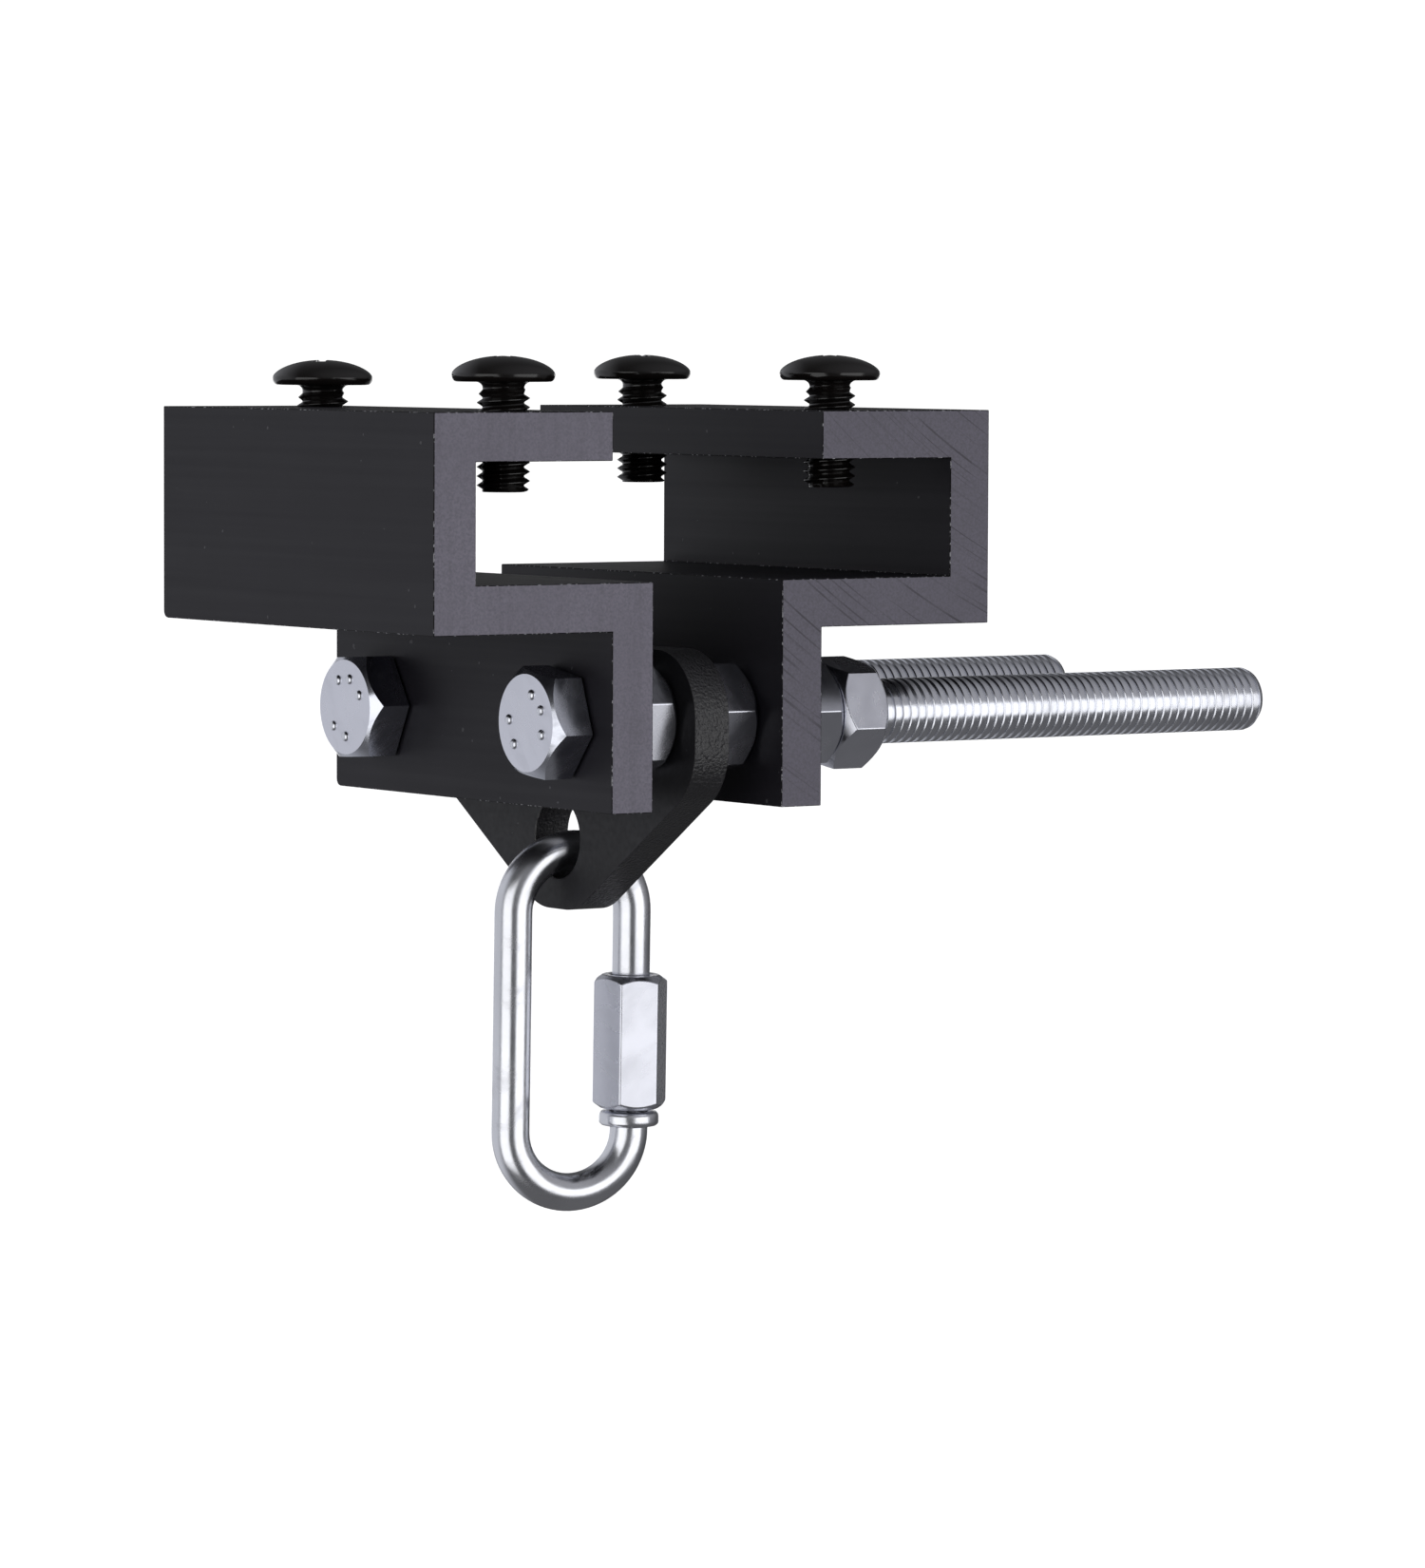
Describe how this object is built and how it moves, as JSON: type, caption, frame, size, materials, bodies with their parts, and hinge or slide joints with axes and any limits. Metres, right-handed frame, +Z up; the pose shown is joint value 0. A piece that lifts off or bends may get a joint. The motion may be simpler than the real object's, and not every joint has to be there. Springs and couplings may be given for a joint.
{
  "type": "beam clamp",
  "caption": "Adjustable beam clamp: facing Z-section jaws on long hex bolts grip an I-beam's lower flange, and a hanger plate between them carries a quick link.",
  "frame": {"origin": "middle of the beam flange's seat: level with both channel floors, halfway between the jaws and halfway along them", "axes": "+X along the bolts from their heads to their nuts, +Y along the beam, +Z up towards the beam"},
  "size_m": [0.1898, 0.0904, 0.1545],
  "materials": {
    "jaw_black": "satin black anodised extrusion, sawn ends",
    "plate_black": "black powder coat on steel plate",
    "screw_black": "glossy black oxide",
    "zinc_plate": "bright blue-white zinc plate"
  },
  "bodies": {
    "left_frame": {"left_jaw": "jaw_black", "front_bolt": "zinc_plate", "rear_bolt": "zinc_plate"},
    "right_jaw": {"right_jaw": "jaw_black"},
    "hanger": {"hanger_plate": "plate_black"},
    "front_inner_nut": {"front_inner_nut": "zinc_plate"},
    "rear_inner_nut": {"rear_inner_nut": "zinc_plate"},
    "front_plate_nut": {"front_plate_nut": "zinc_plate"},
    "rear_plate_nut": {"rear_plate_nut": "zinc_plate"},
    "front_clamp_nut": {"front_clamp_nut": "zinc_plate"},
    "rear_clamp_nut": {"rear_clamp_nut": "zinc_plate"},
    "front_lock_nut": {"front_lock_nut": "zinc_plate"},
    "rear_lock_nut": {"rear_lock_nut": "zinc_plate"},
    "left_front_screw": {"left_front_screw": "screw_black"},
    "left_rear_screw": {"left_rear_screw": "screw_black"},
    "right_front_screw": {"right_front_screw": "screw_black"},
    "right_rear_screw": {"right_rear_screw": "screw_black"},
    "quick_link": {"quick_link": "zinc_plate"},
    "link_sleeve": {"link_sleeve": "zinc_plate"}
  },
  "joints": [
    {"name": "right_jaw_slide", "type": "slide", "parent": "left_frame", "child": "right_jaw", "axis": [1, 0, 0], "range_m": [0, 0.087]},
    {"name": "hanger_slide", "type": "slide", "parent": "left_frame", "child": "hanger", "axis": [1, 0, 0], "range_m": [0, 0.0435]},
    {"name": "front_inner_nut_turn", "type": "hinge", "parent": "hanger", "child": "front_inner_nut", "pos_m": [-0.00865, -0.0298, -0.0247], "axis": [1, 0, 0], "range_deg": [0, 8960]},
    {"name": "rear_inner_nut_turn", "type": "hinge", "parent": "hanger", "child": "rear_inner_nut", "pos_m": [-0.00865, 0.0298, -0.0247], "axis": [1, 0, 0], "range_deg": [0, 8960]},
    {"name": "front_plate_nut_turn", "type": "hinge", "parent": "hanger", "child": "front_plate_nut", "pos_m": [0.00865, -0.0298, -0.0247], "axis": [1, 0, 0], "range_deg": [0, 8960]},
    {"name": "rear_plate_nut_turn", "type": "hinge", "parent": "hanger", "child": "rear_plate_nut", "pos_m": [0.00865, 0.0298, -0.0247], "axis": [1, 0, 0], "range_deg": [0, 8960]},
    {"name": "front_clamp_nut_turn", "type": "hinge", "parent": "right_jaw", "child": "front_clamp_nut", "pos_m": [0.02725, -0.0298, -0.0247], "axis": [1, 0, 0], "range_deg": [0, 17910]},
    {"name": "rear_clamp_nut_turn", "type": "hinge", "parent": "right_jaw", "child": "rear_clamp_nut", "pos_m": [0.02725, 0.0298, -0.0247], "axis": [1, 0, 0], "range_deg": [0, 17910]},
    {"name": "front_lock_nut_turn", "type": "hinge", "parent": "right_jaw", "child": "front_lock_nut", "pos_m": [0.0371, -0.0298, -0.0247], "axis": [1, 0, 0], "range_deg": [0, 17910]},
    {"name": "rear_lock_nut_turn", "type": "hinge", "parent": "right_jaw", "child": "rear_lock_nut", "pos_m": [0.0371, 0.0298, -0.0247], "axis": [1, 0, 0], "range_deg": [0, 17910]},
    {"name": "left_front_screw_feed", "type": "slide", "parent": "left_frame", "child": "left_front_screw", "axis": [0, 0, 1], "range_m": [-0.0043, 0.009]},
    {"name": "left_rear_screw_feed", "type": "slide", "parent": "left_frame", "child": "left_rear_screw", "axis": [0, 0, 1], "range_m": [-0.0032, 0.009]},
    {"name": "right_front_screw_feed", "type": "slide", "parent": "right_jaw", "child": "right_front_screw", "axis": [0, 0, 1], "range_m": [-0.0045, 0.009]},
    {"name": "right_rear_screw_feed", "type": "slide", "parent": "right_jaw", "child": "right_rear_screw", "axis": [0, 0, 1], "range_m": [-0.0042, 0.009]},
    {"name": "link_swing", "type": "hinge", "parent": "hanger", "child": "quick_link", "pos_m": [0, 0, -0.0476], "axis": [1, 0, 0], "range_deg": [-75, 75]},
    {"name": "sleeve_travel", "type": "slide", "parent": "quick_link", "child": "link_sleeve", "axis": [0, -0.0201, 0.9998], "range_m": [0, 0.011]}
  ],
  "couplings": [
    {"joint": "hanger_slide", "follows": "right_jaw_slide", "ratio": 0.5},
    {"joint": "front_inner_nut_turn", "follows": "right_jaw_slide", "rad_per_m": 1795.2},
    {"joint": "rear_inner_nut_turn", "follows": "right_jaw_slide", "rad_per_m": 1795.2},
    {"joint": "front_plate_nut_turn", "follows": "right_jaw_slide", "rad_per_m": 1795.2},
    {"joint": "rear_plate_nut_turn", "follows": "right_jaw_slide", "rad_per_m": 1795.2},
    {"joint": "front_clamp_nut_turn", "follows": "right_jaw_slide", "rad_per_m": 3590.4},
    {"joint": "rear_clamp_nut_turn", "follows": "right_jaw_slide", "rad_per_m": 3590.4},
    {"joint": "front_lock_nut_turn", "follows": "right_jaw_slide", "rad_per_m": 3590.4},
    {"joint": "rear_lock_nut_turn", "follows": "right_jaw_slide", "rad_per_m": 3590.4}
  ]
}
